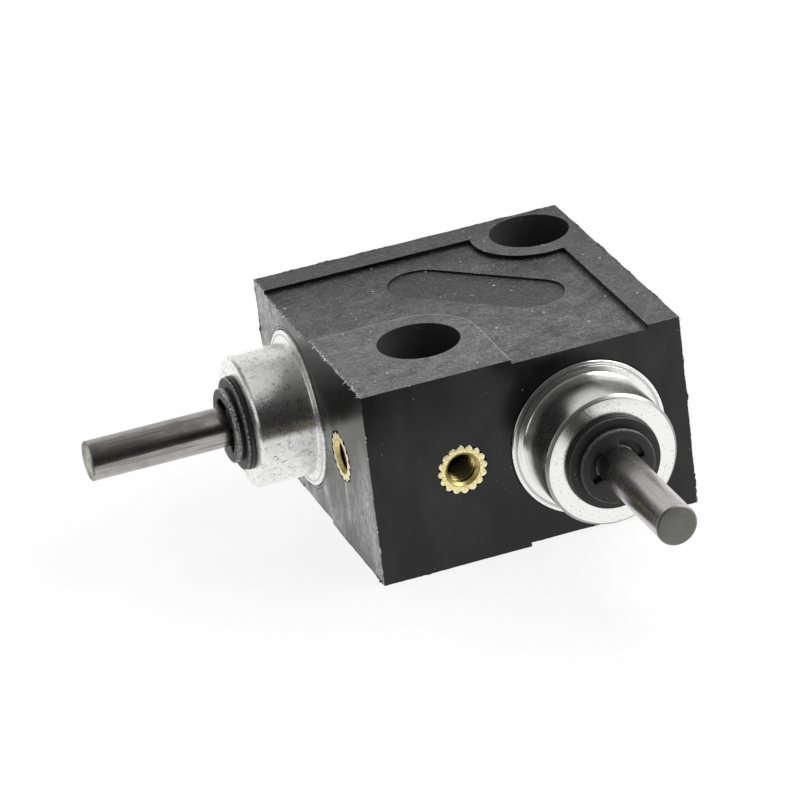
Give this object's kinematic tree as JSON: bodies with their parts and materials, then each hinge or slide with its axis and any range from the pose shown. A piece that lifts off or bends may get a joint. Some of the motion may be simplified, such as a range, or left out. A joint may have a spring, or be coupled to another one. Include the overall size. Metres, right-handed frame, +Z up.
{
  "type": "right angle gearbox",
  "caption": "Flat square moulded gearbox block with plain shafts leaving neighbouring faces through turned aluminium bearing housings, geared together at a right angle by mitre gears.",
  "frame": {"origin": "midway between the mounting holes, on the base plane", "axes": "+Z up out of the top face; the input shaft leaves along -X and the output shaft along -Y"},
  "size_m": [0.067, 0.067, 0.0245],
  "materials": {
    "moulded_polymer": "moulded, satin",
    "turned_aluminium": "turned",
    "sintered_bronze": "sintered, oiled",
    "black_acetal": "smooth",
    "black_washer_steel": "black oxide, worn edges",
    "shim_steel": "dark, oiled",
    "black_clip_steel": "black phosphate, worn edges",
    "ground_steel": "ground",
    "gear_steel": "cut, oiled",
    "pin_steel": "ground",
    "pale_acetal": "smooth",
    "brass": "machined"
  },
  "bodies": {
    "block": {"housing": "moulded_polymer", "left_insert": "brass", "front_insert": "brass", "input_bearing_housing": "turned_aluminium", "input_outer_bush": "sintered_bronze", "input_inner_bush": "sintered_bronze", "input_thrust_washer": "black_acetal", "input_gear_washer": "pale_acetal", "output_bearing_housing": "turned_aluminium", "output_outer_bush": "sintered_bronze", "output_inner_bush": "sintered_bronze", "output_thrust_washer": "black_acetal", "output_gear_washer": "pale_acetal"},
    "input": {"input_shaft": "ground_steel", "input_gear": "gear_steel", "input_gear_pin": "pin_steel", "input_spacer_washer": "black_washer_steel", "input_shim": "shim_steel", "input_e_clip": "black_clip_steel"},
    "output": {"output_shaft": "ground_steel", "output_gear": "gear_steel", "output_gear_pin": "pin_steel", "output_spacer_washer": "black_washer_steel", "output_shim": "shim_steel", "output_e_clip": "black_clip_steel"}
  },
  "joints": [
    {"name": "input_turn", "type": "hinge", "parent": "block", "child": "input", "pos_m": [0.00445, 0.00445, 0.01225], "axis": [-1, 0, 0], "continuous": true},
    {"name": "output_turn", "type": "hinge", "parent": "block", "child": "output", "pos_m": [0.00445, 0.00445, 0.01225], "axis": [0, -1, 0], "continuous": true}
  ],
  "couplings": [
    {"joint": "output_turn", "follows": "input_turn", "ratio": -1}
  ]
}
